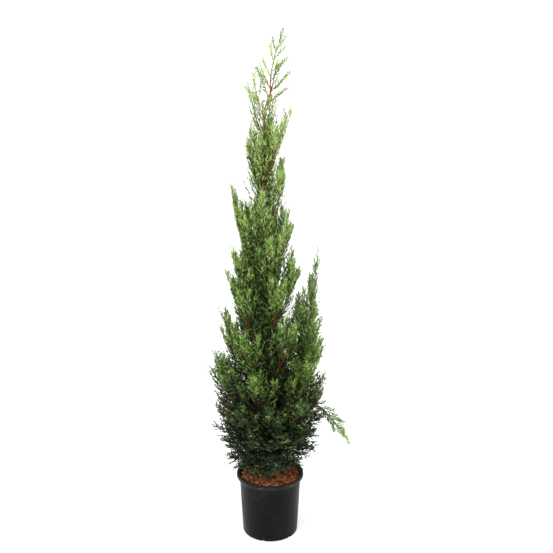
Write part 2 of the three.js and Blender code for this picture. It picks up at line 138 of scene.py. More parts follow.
# Side shoots, and the lesser shoots between them
SIDE_SHOOTS = 26
BOUGH_SHOOTS = 15
GOLDEN = math.radians(137.508)
FIRST_TURN = math.radians(96)
LOWEST_TIP = 345
SPACING_LOW = 38
SPACING_HIGH = 93
LOWEST_FORK = MULCH_TOP + 36
REACH_SPREAD = 0.06
BOUGH_SHARE = 0.27
BARE_SHARE = 0.1
BOUGH_RADIUS = 5.5
BOUGH_TIP_RADIUS = 3.6
BOUGH_COLLAR = 5
COLLAR_FADE = 9
KNEE_OUT = 0.55
KNEE_UP = 0.36
SHOOT_SEED = 20
LESSER_SEED = 21
LOW_SHOOTS = 8
LESSER_RADIUS = 2
# Height and turn in degrees of the lesser shoots that end at the crown's flanks
FLANK_SHOOTS = [[810, 186], [870, -4], [985, 174], [1150, 184], [1500, 178], [1790, 4]]
# By the height of a shoot's tip: the bend, longest and shortest size, feathering and spacing of its sprays
SHOOT_BEND = [[345, -0.06], [450, 0.02], [620, 0.22], [850, 0.45], [1900, 0.4]]
LONG_SPRAY = [[345, 130], [900, 140], [1900, 112]]
SHORT_SPRAY = [[345, 54], [600, 38], [900, 28], [1900, 26]]
FEATHER = [[345, 0.46], [900, 0.45], [1100, 0.52], [1600, 0.48], [1900, 0.32]]
SPACING = [[345, 1.1], [700, 1.1], [900, 1.48], [1300, 1.7], [1750, 2.1], [1850, 4.2]]

# The two shoots that break the outline, and the planes of the flat fronds
SECOND_LEADER = [[62, 24, 560], [120, 28, 720], [154, 20, 880], [179, 8, 1070], [192, -2, 1248]]
SECOND_FORK = 455
SECOND_BARE = 0.33
DROOPING = [[102, -8, 580], [194, -16, 586], [280, -20, 498], [342, -24, 404]]
DROOPING_FORK = 490
DROOPING_BARE = 0.46
FROND_PLANE = np.array([0.8, 0.25, 0.55])
LEADER_PLANE = np.array([1.0, 0.2, 0])
LEADER_START = 1806
OPEN_TOP = 1770

# Stems
STEM_RADIUS = 3.2
STEM_TIP_RADIUS = 0.9
STEM_RINGS = 26
STEM_SIDES = 6
STEM_END = 0.96
DARK_STEMS = 530
BRANCH_RADIUS = 1.7
BRANCH_STEP = 25

# Sprays: how far apart they leave a stem, how they stand and how long they are
SPRAY_STEP = 4.9
BRANCH_SPRAY_STEP = 10
FAN_LOW = math.radians(58)
FAN_HIGH = math.radians(25)
ROLL = math.radians(38)
SHRINKS = [1, 0.88, 0.76, 0.64, 0.52]
MIDDLE = 0.6
# How strongly sprays turn up: not at all near the mulch, most in the upper crown
RISE = [[345, 0], [500, 0.12], [700, 0.4], [1000, 0.9], [1500, 1.05], [1700, 0.7], [1850, 0.15]]
# The last leaf of a stem, and how far beyond the stem it ends
TIP_LEAF = 14
TIP_BEYOND = 32

# Side twigs of a spray
STALK = 0.1
LAST_TWIG = 0.97
TWIG_CROWDING = 0.82
LEAST_TWIGS = 4
TWIG_STEP = [[420, 13], [600, 14.5], [850, 14.5], [1050, 17.5], [1700, 17.5], [1850, 8]]
TWIG_FAN_DEG = [[350, 40], [720, 34], [850, 34], [1050, 24], [1600, 24], [1850, 28]]
FROND_TWIG_STEP = 6.5
FROND_TWIG_FAN = math.radians(28)
TWIG_FAN_SPREAD = math.radians(4)
TWIG_TILT = math.radians(9)
TWIG_LEAST = 7
PLUMPNESS = [[420, 1.15], [560, 1], [1700, 0.95], [1880, 0.85]]
AXIS_RADIUS = 2

# Branchlets on the twigs and on the rachis
LEAF_STEP = 6
LAST_LEAF = 0.86
LEAF_FAN = math.radians(11)
LEAF_FAN_SPREAD = math.radians(4)
LEAF_SWING = 0.28
LEAF_LEAST = 11
LEAF_SHARE = 0.1
LEAF_SHORTENING = 0.75
LEAF_RADIUS = 1.8
LEAF_WIDEST = 0.42
LEAF_DEPTH = 1.1
RACHIS_LEAF = 11
RACHIS_LEAF_RADIUS = 0.9
RACHIS_STEP = 6.5
RACHIS_BARE = 0.4
FROND_BARE = 0.06
RACHIS_FAN = math.radians(13)
RACHIS_RINGS = np.array([0, 0.4, 0.72, 1])
PIECE_TRIANGLES = 190_000
FOLIAGE_SEED = 300

# Fronds over the mulch, and the short sprays on the trunk with their bend, fan and size by height
APRON_COUNT = 9
APRON_SEED = 420
APRON_FIRST = math.radians(-84)
LOW_CROWN = 470
LOW_INNER_STEP = 2.2
INNER_STEP = 5
INNER_BEND = [[296, -0.25], [420, -0.05], [620, 0.25], [900, 0.5]]
INNER_FAN_DEG = [[296, 88], [700, 56], [1800, 34]]
INNER_SIZE = [[296, 70], [420, 150], [700, 150], [1200, 125], [1850, 90]]

# Tones of the foliage from the dark inside to the light tips, as display colours
# Painted shade and light: dark tones where the crown is shaded, light ones where it is lit, with new growth's
# own yellow-green
TONES = {
    "dark": (17, 26, 16),
    "deep": (47, 62, 32),
    "mid": (79, 110, 48),
    "green": (109, 146, 67),
    "bright": (143, 177, 88),
    "lit_new_growth": (179, 204, 120),
    "cool_deep": (45, 59, 38),
    "cool_mid": (70, 89, 57),
    "cool_green": (97, 119, 76),
}
# The tones in order from painted shade to painted light
SHADE_TO_LIGHT_AND_GROWTH = ["dark", "deep", "mid", "green", "bright", "lit_new_growth"]
COOL_SHADE_TO_LIGHT_AND_GROWTH = ["dark", "cool_deep", "cool_mid", "cool_green", "bright", "lit_new_growth"]
COOL_CHANCE = [[460, 0.9], [680, 0]]
# A spray's tone: by height, how much it gains from inside to outside, and how much it varies
# Darker low down and inside the crown is painted shade, lighter high up and outside is painted light and
# partly new growth
TONE_AT = [[300, -0.04], [480, -0.01], [640, 0.1], [780, 0.32], [1100, 0.42], [1600, 0.7], [2000, 0.9]]
TONE_DEPTH = [[350, 0.4], [600, 0.55], [880, 0.58], [1080, 0.44], [1700, 0.46], [1850, 0.5]]
TONE_SPREAD = [[1600, 0.1], [1850, 0.06]]
# Within a spray: the gain along it and with depth, and how much twigs and leaves vary, low down and high up
# These gains darken bases and inner twigs as painted shade, and lighten tips and outer twigs as painted light
TONE_GAIN = [[880, 0.34], [1080, 0.24], [1500, 0.22], [1850, 0.12]]
TONE_CENTRE = 0.55
FROND_GAIN = 0.12
HIGH_SHARE = [[880, 0], [1080, 1]]
TWIG_DEPTHS = (0.55, 0.36)
TWIG_SPREADS = (0.12, 0.25)
TWIG_MIDDLE = 0.7
LEAF_SPREADS = (0.02, 0.09)
LEAF_GAIN = 0.44
LEAF_CENTRE = 0.42

# Twigs: names of the look, piece and slot, roughness, relief, and display colours by place in the noise
TWIG_LOOKS = {
    "brown": ("twig_bark", "twigs_brown", "bark", (0.55, 0.8), (0.4, 0.0008),
        [(0.3, (104, 48, 30)), (0.55, (146, 72, 42)), (0.75, (176, 102, 64))]),
    "dark": ("twig_dark", "twigs_dark", "bark", (0.6, 0.85), (0.4, 0.0008),
        [(0.3, (40, 27, 19)), (0.55, (58, 40, 27)), (0.75, (80, 56, 38))]),
    "green": ("twig_green", "twigs_green", "foliage", (0.5, 0.7), (0.3, 0.0006),
        [(0.35, (74, 74, 40)), (0.65, (100, 98, 54))]),
    "pale": ("twig_pale", "leader_stem", "foliage", (0.5, 0.7), (0.3, 0.0006),
        [(0.35, (166, 162, 84)), (0.65, (190, 182, 106))]),
}

# Stage, lights and camera
FLOOR_RADIUS = 400_000
FLOOR_SEGMENTS = 96
# Place, aim and size in metres, and power of the area lights
FILLS = {
    "fill": ((2.4, 0.2, 0.7), (0, 0, 0.3), (0.4, 1.6), 16),
    "left_fill": ((-2.3, 0.7, 0.5), (0, 0, 0.2), (0.4, 1.2), 12),
}
CAMERA_DOWN_DEG = 16.68


def linear(colour):
    """A display colour of 0 to 255 as linear values."""
    part = np.array(colour, float) / 255
    return tuple(np.where(part <= 0.04045, part / 12.92, ((part + 0.055) / 1.055) ** 2.4))


def shade(colour, factor):
    return tuple(min(255, part * factor) for part in colour)


def unit(v):
    return v / np.linalg.norm(v, axis=-1, keepdims=True)


def lerp(a, b, share):
    return a + (b - a) * share


def by_height(table, height):
    """A table of [height, value] rows read at a height."""
    heights, values = np.transpose(table)
    return np.interp(height, heights, values)


def polar(reach, turn, height=0):
    return np.array([reach * math.cos(turn), reach * math.sin(turn), height])


def alternate(numbers):
    return np.where(numbers % 2 == 0, 1.0, -1.0)


def uneven(rng, low, span, count=None):
    return low + span * rng.random(count)


def any_roll(rng):
    return ROLL * (2 * rng.random() - 1)


def seeded(seed):
    """Random numbers in the order that the solids have them."""
    whole = 0xFFFFFFFF
    state = seed & whole

    def draw():
        nonlocal state
        state = (state + 0x6D2B79F5) & whole
        mixed = ((state ^ (state >> 15)) * (state | 1)) & whole
        mixed = ((mixed + (mixed ^ (mixed >> 7)) * (mixed | 61)) & whole) ^ mixed
        return (mixed ^ (mixed >> 14)) / 4294967296

    return draw


def crown_reach(height, side):
    """The crown's reach at a height, where side runs from -1, left, to 1, right."""
    left = np.interp(height, CROWN[:, 0], CROWN[:, 1])
    right = np.interp(height, CROWN[:, 0], CROWN[:, 2])
    return lerp(left, right, (1 + side) / 2)


# Curves
class Line:
    """A curve held as close points and read by the share of its length."""

    def __init__(self, points):
        self.points = points
        steps = np.linalg.norm(np.diff(points, axis=0), axis=1)
        self.run = np.concatenate([[0.0], np.cumsum(steps)])
        self.length = self.run[-1]

    def at(self, share):
        spot = np.asarray(share, float) * self.length
        return np.stack([np.interp(spot, self.run, self.points[:, k]) for k in range(3)], axis=-1)

    def along(self, share):
        step = 0.004
        share = np.asarray(share, float)
        return unit(self.at(np.minimum(share + step, 1)) - self.at(np.maximum(share - step, 0)))

    def share_at_height(self, height):
        shares = np.linspace(0, 1, 2001)
        return float(np.interp(height, self.at(shares)[:, 2], shares))

    def at_height(self, height):
        return self.at(self.share_at_height(height))


def smooth_line(points, pieces=24):
    """A centripetal curve through points."""
    p = np.array(points, float)
    p = np.vstack([2 * p[0] - p[1], p, 2 * p[-1] - p[-2]])
    w = np.linspace(0, 1, pieces, endpoint=False)[:, None]
    found = []
    for i in range(1, len(p) - 2):
        p0, p1, p2, p3 = p[i - 1:i + 3]
        d0, d1, d2 = (np.linalg.norm(b - a) ** 0.5 for a, b in ((p0, p1), (p1, p2), (p2, p3)))
        t1 = ((p1 - p0) / d0 - (p2 - p0) / (d0 + d1) + (p2 - p1) / d1) * d1
        t2 = ((p2 - p1) / d1 - (p3 - p1) / (d1 + d2) + (p3 - p2) / d2) * d1
        square = -3 * p1 + 3 * p2 - 2 * t1 - t2
        cube = 2 * p1 - 2 * p2 + t1 + t2
        found.append(p1 + w * t1 + w**2 * square + w**3 * cube)
    return Line(np.vstack(found + [p[-2:-1]]))


def bent_line(a, b, c, pieces=80):
    w = np.linspace(0, 1, pieces + 1)[:, None]
    return Line((1 - w) ** 2 * a + 2 * w * (1 - w) * b + w**2 * c)


# Meshes from arrays
class Batch:
    """Triangles that become one joined piece, or several where they are many."""

    def __init__(self):
        self.corners = []
        self.faces = []
        self.count = 0

    def add(self, corners, faces):
        self.corners.append(corners)
        self.faces.append(faces + self.count)
        self.count += len(corners)

    def build(self, name, material, smooth):
        corners = np.vstack(self.corners)
        faces = np.vstack(self.faces)
        pieces = []
        parts = -(-len(faces) // PIECE_TRIANGLES)
        size = -(-len(faces) // (4 * parts)) * 4
        for k, first in enumerate(range(0, len(faces), size)):
            some = faces[first:first + size]
            used, again = np.unique(some, return_inverse=True)
            label = name if parts == 1 else f"{name}_{k + 1}"
            pieces.append(mesh_object(label, corners[used], again.reshape(-1, 3), material, smooth))
        return pieces


def mesh_object(name, corners, faces, material, smooth):
    mesh = bpy.data.meshes.new(name)
    mesh.vertices.add(len(corners))
    mesh.vertices.foreach_set("co", (np.asarray(corners) * MM).astype(np.float32).ravel())
    mesh.loops.add(faces.size)
    mesh.loops.foreach_set("vertex_index", faces.astype(np.int32).ravel())
    mesh.polygons.add(len(faces))
    mesh.polygons.foreach_set("loop_start", np.arange(0, faces.size, 3, dtype=np.int32))
    mesh.polygons.foreach_set("use_smooth", np.full(len(faces), smooth))
    mesh.update(calc_edges=True)
    mesh.materials.append(material)
    piece = bpy.data.objects.new(name, mesh)
    bpy.context.scene.collection.objects.link(piece)
    return piece


def dressed(pieces, slot, nodes):
    for piece in pieces:
        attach(piece, "root")
        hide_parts(*nodes)


def round_turns(count):
    return 2 * np.pi * np.arange(count) / count


def strip(rings, sides):
    """Faces of the walls between rings of corners."""
    row = np.arange(rings - 1)[:, None] * sides
    a = row + np.arange(sides)
    b = row + (np.arange(sides) + 1) % sides
    return np.stack([a, b, b + sides, a, b + sides, a + sides], axis=-1).reshape(-1, 3)


def closed(rings, sides):
    """Faces between rings of corners, and those that close the first and the last ring."""
    fan = np.arange(1, sides - 1)
    foot = np.stack([0 * fan, fan + 1, fan], axis=-1)
    head = np.stack([0 * fan, fan, fan + 1], axis=-1) + (rings - 1) * sides
    return np.vstack([strip(rings, sides), foot, head])


def tube(centres, radii, sides):
    """A closed tube. radii has one row a centre, with one value or one a side."""
    centres = np.asarray(centres, float)
    rings = len(centres)
    ways = unit(np.gradient(centres, axis=0))
    across = np.array([1.0, 0, 0]) if abs(ways[0][0]) < 0.9 else np.array([0, 1.0, 0])
    turns = round_turns(sides)
    radii = np.broadcast_to(np.asarray(radii, float).reshape(rings, -1), (rings, sides))
    corners = np.empty((rings, sides, 3))
    for i in range(rings):
        across = unit(across - ways[i] * np.dot(across, ways[i]))
        beside = np.cross(ways[i], across)
        outwards = np.cos(turns)[:, None] * across + np.sin(turns)[:, None] * beside
        corners[i] = centres[i] + radii[i][:, None] * outwards
    return corners.reshape(-1, 3), closed(rings, sides)


def turned(profile, segments):
    """Corners of [radius, height] points turned round the axis, one ring a point."""
    profile = np.asarray(profile, float)
    turns = round_turns(segments)
    heights = np.repeat(profile[:, 1:], segments, axis=1)
    corners = np.stack([profile[:, :1] * np.cos(turns), profile[:, :1] * np.sin(turns), heights], axis=-1)
    return corners.reshape(-1, 3)


def lathe(profile, segments):
    """A closed round-the-axis skin from [radius, height] points that start and end on the axis."""
    count = len(profile) - 2
    corners = np.vstack([turned(profile[1:-1], segments), [[0, 0, profile[0][1]], [0, 0, profile[-1][1]]]])
    j = np.arange(segments)
    after = (j + 1) % segments
    foot = np.stack([np.full(segments, count * segments), after, j], axis=-1)
    last = (count - 1) * segments
    head = np.stack([np.full(segments, count * segments + 1), last + j, last + after], axis=-1)
    return corners, np.vstack([strip(count, segments), foot, head])


def loop(profile, segments):
    """A closed ring from a loop of [radius, height] points."""
    count = len(profile)
    return turned(profile, segments), strip(count + 1, segments) % (count * segments)


def leaflets(roots, ways, lengths, radii, rolls):
    """Closed four-faced branchlets, widest below the middle: a root, two shoulders and a tip each."""
    ways = unit(ways)
    other = np.where(np.abs(ways[:, 2:]) < 0.9, UP, [1.0, 0, 0])
    side = unit(np.cross(other, ways))
    across = np.cos(rolls)[:, None] * side + np.sin(rolls)[:, None] * np.cross(ways, side)
    facing = np.cross(ways, across)
    middle = roots + ways * (lengths * LEAF_WIDEST)[:, None] + LEAF_DEPTH * radii[:, None] * facing
    left = middle + radii[:, None] * across
    right = middle - radii[:, None] * across
    corners = np.stack([roots, left, right, roots + ways * lengths[:, None]], axis=1)
    pattern = np.array([[0, 2, 1], [3, 1, 2], [0, 1, 3], [0, 3, 2]])
    faces = pattern[None] + 4 * np.arange(len(roots))[:, None, None]
    return corners.reshape(-1, 3), faces.reshape(-1, 3)


# Materials
def new_material(name):
    material = bpy.data.materials.new(name)
    material.use_nodes = True
    return material, material.node_tree, material.node_tree.nodes["Principled BSDF"]


def put(node, values):
    for name, value in values.items():
        node.inputs[name].default_value = value


def wire(tree, node, sources):
    for name, source in sources.items():
        tree.links.new(source, node.inputs[name])


def add_node(tree, kind, values, sources):
    """The outputs of a new node, with some inputs set and some wired."""
    node = tree.nodes.new(kind)
    put(node, values)
    wire(tree, node, sources)
    return node.outputs


def noise(tree, scale, detail, stretch=(1, 1, 1)):
    spot = add_node(tree, "ShaderNodeTexCoord", {}, {})["Object"]
    place = add_node(tree, "ShaderNodeMapping", {"Scale": stretch}, {"Vector": spot})["Vector"]
    grain = {"Scale": scale, "Detail": detail, "Roughness": 0.55}
    return add_node(tree, "ShaderNodeTexNoise", grain, {"Vector": place})["Fac"]


def ramp(tree, value, stops):
    """A colour from a value: stops are [place, display colour]."""
    node = tree.nodes.new("ShaderNodeValToRGB")
    while len(node.color_ramp.elements) < len(stops):
        node.color_ramp.elements.new(0.5)
    for element, (place, colour) in zip(node.color_ramp.elements, stops):
        element.position = place
        element.color = (*linear(colour), 1)
    wire(tree, node, {"Fac": value})
    return node.outputs["Color"]


def spread(tree, value, low, high):
    ends = {"From Min": 0.3, "From Max": 0.7, "To Min": low, "To Max": high}
    return add_node(tree, "ShaderNodeMapRange", ends, {"Value": value})["Result"]


def bump(tree, value, strength, distance):
    size = {"Strength": strength, "Distance": distance}
    return add_node(tree, "ShaderNodeBump", size, {"Height": value})["Normal"]


def grained(name, stops, scale, roughness, raised, stretch=(1, 1, 1), specular=0.3, detail=4):
    """Colour, roughness and relief from noise. raised is the strength and the height of the relief."""
    material, tree, shader = new_material(name)
    colour = ramp(tree, noise(tree, scale, detail, stretch), stops)
    small = noise(tree, scale * 5, 3, stretch)
    rough = spread(tree, small, *roughness)
    wire(tree, shader, {"Base Color": colour, "Roughness": rough, "Normal": bump(tree, small, *raised)})
    put(shader, {"Specular IOR Level": specular})
    return material


# Main line and shoots
main_line = smooth_line(MAIN_LINE)
trunk_end = main_line.share_at_height(TRUNK_TOP)


def trunk_radius(share, turn, height):
    lobes = 1 + FLARE_LOBE_DEPTH * np.cos(FLARE_LOBES * turn)
    flare = FLARE * np.exp(-(height - MULCH_TOP) / FLARE_HEIGHT) * lobes
    return lerp(TRUNK_RADIUS, TRUNK_TIP_RADIUS, share**TRUNK_TAPER) + flare


def side_shoot(index, draw):
    progress = index / (SIDE_SHOOTS - 1)
    height = LOWEST_TIP + index * lerp(SPACING_LOW, (SPACING_LOW + SPACING_HIGH) / 2, progress)
    bare = BOUGH_SHARE if index < BOUGH_SHOOTS else BARE_SHARE
    return shoot_to(height, FIRST_TURN + GOLDEN * index, 1 - REACH_SPREAD * draw(), bare)


def shoot_to(height, azimuth, part, bare):
    """A shoot that climbs from the trunk to part of the crown's reach, and the share of it that is bare."""
    reach = crown_reach(height, math.cos(azimuth)) * part
    tip = polar(reach, azimuth, height)
    slope = math.tan(math.radians(by_height(CLIMB, height)))
    fork = main_line.at_height(max(LOWEST_FORK, height - reach * slope))
    knee = lerp(fork, tip, KNEE_OUT)
    knee[2] = lerp(fork[2], tip[2], KNEE_UP)
    return bent_line(fork, knee, tip), bare


def line_shoot(fork, points, bare):
    return smooth_line([main_line.at_height(fork), *points]), bare


draw_shoot = seeded(SHOOT_SEED)
side_shoots = [side_shoot(i, draw_shoot) for i in range(SIDE_SHOOTS)]
draw_lesser = seeded(LESSER_SEED)
lesser_shoots = [side_shoot(i + 0.5, draw_lesser) for i in range(SIDE_SHOOTS - 1)]
lesser_shoots += [side_shoot(i + part, draw_lesser) for i in range(LOW_SHOOTS) for part in (0.25, 0.75)]
for height, turn in FLANK_SHOOTS:
    lesser_shoots.append(shoot_to(height, math.radians(turn), 0.97, BARE_SHARE))
second_leader = line_shoot(SECOND_FORK, SECOND_LEADER, SECOND_BARE)
drooping = line_shoot(DROOPING_FORK, DROOPING, DROOPING_BARE)

# Where sprays may grow and how fresh they are
box_low = np.array(cad_low) / MM
box_high = np.array(cad_high) / MM


def in_crown(points, slack):
    """Whether points are inside the crown, clear of the pot and inside the solids' box."""
    heights = points[:, 2]
    aside = points[:, 0] - by_height(LEAN, heights)
    out = np.hypot(aside, points[:, 1])
    lowest = np.where(out < BODY_TOP_RADIUS - 8, MULCH_TOP + 5, POT_HEIGHT + 3)
    side = aside / np.maximum(out, 1)
    near = out <= slack * crown_reach(heights, side) + by_height(FRINGE, heights)
    boxed = np.all((points >= box_low - BOX_SLACK) & (points <= box_high + BOX_SLACK), axis=1)
    return bool(np.all((heights > lowest) & near & boxed))


def out_share(spots):
    """How far out spots lie between the trunk and the crown's reach."""
    heights = spots[:, 2]
    trunk = main_line.points
    middle = np.stack([np.interp(heights, trunk[:, 2], trunk[:, k]) for k in (0, 1)], axis=-1)
    out = np.linalg.norm(spots[:, :2] - middle, axis=1)
    side = spots[:, 0] / np.maximum(1, np.linalg.norm(spots[:, :2], axis=1))
    return np.minimum(1, out / np.maximum(40, crown_reach(heights, side)))


def tone_of(spot, rng):
    """A spray's tone: dark low and inside as painted shade, light outside and on top as painted light and new
    growth.
    """
    share = out_share(spot[None])[0]
    tone = by_height(TONE_AT, spot[2]) + by_height(TONE_DEPTH, spot[2]) * (share - 0.5)
    return tone + by_height(TONE_SPREAD, spot[2]) * rng.standard_normal()


# Sprays
leaves = {name: Batch() for name in TONES}
twigs = {kind: Batch() for kind in TWIG_LOOKS}
roll_rng = default_rng(5)


def deal(roots, ways, lengths, radii, tones, names):
    """Gives branchlets to the pieces of their tones, which run from 0, painted shade, to 1, painted light and
    new growth.
    """
    kinds = np.clip((tones * len(names)).astype(int), 0, len(names) - 1)
    for k, name in enumerate(names):
        chosen = kinds == k
        if chosen.any():
            rolls = roll_rng.random(chosen.sum()) * 2 * np.pi
            leaves[name].add(*leaflets(roots[chosen], ways[chosen], lengths[chosen], radii[chosen], rolls))


def spray_line(root, way, size, bend):
    return lambda u: root + size * (np.multiply.outer(u, way) + bend * np.multiply.outer(u**2, UP))


def spray_ways(way, bend, u):
    return unit(way + 2 * bend * np.multiply.outer(u, UP))


def side_twigs(root, way, size, bend, roll, feather, flat, rng):
    """Twigs on alternate sides of a rachis: their shares of it, its ways there, their ways and lengths, and
    the directions across it."""
    step = by_height(TWIG_STEP, root[2]) if flat is None else FROND_TWIG_STEP
    count = max(LEAST_TWIGS, int(size * (1 - STALK) / step))
    places = (np.arange(count) + 0.35 + 0.3 * rng.random(count)) / count
    u = lerp(STALK, LAST_TWIG, places**TWIG_CROWDING)
    ways = spray_ways(way, bend, u)
    if flat is None:
        level = unit(np.cross(UP, ways) + TINY)
        fan = math.radians(by_height(TWIG_FAN_DEG, root[2]))
    else:
        level = unit(flat - ways * (ways @ flat)[:, None])
        fan = FROND_TWIG_FAN
        roll = 0.4 * roll
    across = math.cos(roll) * level + math.sin(roll) * np.cross(ways, level)
    fan = fan + TWIG_FAN_SPREAD * rng.standard_normal(count)
    tilt = TWIG_TILT * rng.standard_normal(count)
    flank = alternate(np.arange(count)) * np.cos(tilt)
    out = flank[:, None] * across + np.sin(tilt)[:, None] * np.cross(ways, across)
    twig_ways = unit(np.cos(fan)[:, None] * ways + np.sin(fan)[:, None] * out)
    shape = (1 - u) ** 0.9 * np.minimum(1, 0.55 + 2.2 * u)
    lengths = (feather * size * shape + TWIG_LEAST) * uneven(rng, 0.7, 0.5, count)
    return u, ways, twig_ways, lengths, across


def twig_leaves(spots, ways, twig_ways, twig_lengths, twig_tones, tone_spread, plump, names, rng):
    """Branchlets in two rows on each twig, shorter towards its end."""
    each = np.maximum(2, np.round(twig_lengths / LEAF_STEP).astype(int))
    owner = np.repeat(np.arange(len(each)), each)
    order = np.arange(len(owner)) - np.repeat(np.cumsum(each) - each, each)
    total = len(owner)
    v = LAST_LEAF * (order + 0.35 + 0.5 * rng.random(total)) / each[owner]
    along = twig_ways[owner]
    forward = unit(ways[owner] - along * np.sum(ways[owner] * along, axis=1, keepdims=True))
    beside = np.cross(along, forward)
    turn = LEAF_FAN + LEAF_FAN_SPREAD * rng.standard_normal(total)
    swing = alternate(order)[:, None] * forward
    swing = unit(swing + LEAF_SWING * rng.standard_normal(total)[:, None] * beside)
    leaf_ways = np.cos(turn)[:, None] * along + np.sin(turn)[:, None] * swing
    roots = spots[owner] + along * (v * twig_lengths[owner])[:, None]
    lengths = LEAF_SHARE * twig_lengths[owner] * (1 - LEAF_SHORTENING * v) + LEAF_LEAST
    lengths = lengths * uneven(rng, 0.75, 0.5, total)
    radii = plump * LEAF_RADIUS * uneven(rng, 0.85, 0.3, total)
    # Leaves lighter towards a twig's end: painted light at its tip and painted shade at its base
    tones = twig_tones[owner] + LEAF_GAIN * (v - LEAF_CENTRE) + tone_spread * rng.standard_normal(total)
    deal(roots, leaf_ways, lengths, radii, tones, names)


def rachis_leaves(axis, way, size, bend, across, bare, tone, gain, plump, names):
    """Branchlets on the rachis itself, the last one straight on from its end."""
    total = max(LEAST_TWIGS, int(size * (1 - bare) / RACHIS_STEP))
    w = lerp(bare, 1, np.arange(total) / (total - 1))
    out = alternate(np.arange(total))[:, None] * across
    ways = math.cos(RACHIS_FAN) * spray_ways(way, bend, w) + math.sin(RACHIS_FAN) * out * (w < 1)[:, None]
    lengths = np.where(w < 1, RACHIS_LEAF, TIP_LEAF)
    radii = np.full(total, RACHIS_LEAF_RADIUS * plump * LEAF_RADIUS)
    # Tones rise along the rachis: painted shade at its base, painted light towards its tip
    deal(axis(w), ways, lengths, radii, tone + gain * (w - TONE_CENTRE), names)


def grow_spray(root, way, size, bend, roll, feather, tone, rng, flat=None, plump=1, names=None):
    """A rachis with side twigs on alternate sides, and branchlets on the twigs. A flat spray lies in the
    plane of its way and another direction."""
    height = root[2]
    axis = spray_line(root, way, size, bend)
    u, ways, twig_ways, lengths, across = side_twigs(root, way, size, bend, roll, feather, flat, rng)
    spots = axis(u)
    wild = flat is None
    gain = by_height(TONE_GAIN, height) if wild else FROND_GAIN
    high = by_height(HIGH_SHARE, height) if wild else 0
    tone_spread = lerp(*TWIG_SPREADS, high) if wild else 0
    # Painted light and shade: tones rise along the spray and with a twig's reach out of the crown, partly new
    # growth at tips
    tones = tone + gain * (u - TONE_CENTRE) + tone_spread * rng.standard_normal(len(u))
    if wild:
        ends = spots + TWIG_MIDDLE * lengths[:, None] * twig_ways
        tones += lerp(*TWIG_DEPTHS, high) * (out_share(ends) - out_share(axis(np.array([MIDDLE]))))
    plump = plump * by_height(PLUMPNESS, height)
    if names is None:
        names = COOL_SHADE_TO_LIGHT_AND_GROWTH if rng.random() < by_height(COOL_CHANCE, height) else SHADE_TO_LIGHT_AND_GROWTH
    deal(spots, twig_ways, lengths, np.full(len(u), plump * AXIS_RADIUS), tones, names)
    twig_leaves(spots, ways, twig_ways, lengths, tones, lerp(*LEAF_SPREADS, high), plump, names, rng)
    bare = RACHIS_BARE if wild else FROND_BARE
    rachis_leaves(axis, way, size, bend, across[-1], bare, tone, gain, plump, names)
    radii = (0.6 + size / 240) * (1.3 - 0.9 * RACHIS_RINGS)
    twigs["green"].add(*tube(axis(RACHIS_RINGS), radii, 3))


def fitting_spray(root, way, size, bend, slack):
    """The longest size that keeps a spray inside the crown, or nothing."""
    u = np.array([0.35, 0.7, 1])
    for shrink in SHRINKS:
        axis = spray_line(root, way, size * shrink, bend)
        if in_crown(axis(u), slack):
            return size * shrink
    return 0


def middle_of(root, way, size, bend):
    return spray_line(root, way, size, bend)(np.array([MIDDLE]))[0]


def leaning(along, turn, fan):
    level = unit(np.cross(UP, along) + TINY)
    lifted = np.cross(along, level)
    out = math.cos(turn) * level + math.sin(turn) * lifted
    return unit(math.cos(fan) * along + math.sin(fan) * out)


# Stems with their sprays
def grow_stem(line, first, last, thick=STEM_RADIUS):
    """A stem that is brown, or dark low down, and green towards its tip."""
    shares = np.linspace(first, last, STEM_RINGS)
    radii = lerp(thick, STEM_TIP_RADIUS, np.linspace(0, 1, STEM_RINGS))
    brown = int(STEM_RINGS * 0.62)
    old = twigs["dark"] if line.at(first)[2] < DARK_STEMS else twigs["brown"]
    old.add(*tube(line.at(shares[:brown + 1]), radii[:brown + 1], STEM_SIDES))
    twigs["green"].add(*tube(line.at(shares[brown:]), radii[brown:], STEM_SIDES))


def stations(line, first, last, step, least, rng):
    """Uneven places along a stem: their number, share of the stretch, spot and the stem's way there."""
    count = max(least, int((last - first) * line.length / step))
    for i in range(count):
        place = (i + rng.random()) / count
        share = lerp(first, last, place)
        yield i, place, line.at(share), line.along(share)


def plain_stem(kind, line, first, last, radii, rings=20):
    shares = np.linspace(first, last, rings)
    twigs[kind].add(*tube(line.at(shares), np.linspace(*radii, rings), STEM_SIDES))


def dress(line, first, last, step, long, short, bend, feather, rng, slack=CROWN_SLACK, lift=(0, 0)):
    """Sprays round a stem between two shares of its length, shorter and closer to it towards its pointed tip.
    lift is added to their tones, from first to last, and like them paints shade and light along the stem."""
    for i, place, root, along in stations(line, first, last, step, 2, rng):
        fan = lerp(FAN_LOW, FAN_HIGH, place) + 0.12 * rng.standard_normal()
        way = unit(leaning(along, GOLDEN * i, fan) + by_height(RISE, root[2]) * UP)
        size = lerp(long, short, place) * uneven(rng, 0.75, 0.4)
        roll = any_roll(rng)
        own_slack = slack * lerp(0.76, 1.3, rng.random() ** 1.8)
        size = fitting_spray(root, way, size, bend, own_slack)
        if size:
            tone = tone_of(middle_of(root, way, size, bend), rng) + lerp(*lift, place)
            grow_spray(root, way, size, bend, roll, feather, tone, rng)
    end = line.along(1.0)
    tip_size = 1.5 * short + 34
    root = line.at(1.0) - end * (tip_size + TIP_LEAF - TIP_BEYOND)
    # The end spray is made lighter: painted light on the lit tip, and partly its new growth
    tone = tone_of(root, rng) + lift[1] + 0.1
    grow_spray(root, end, tip_size, 0, any_roll(rng), feather * 0.5, tone, rng)


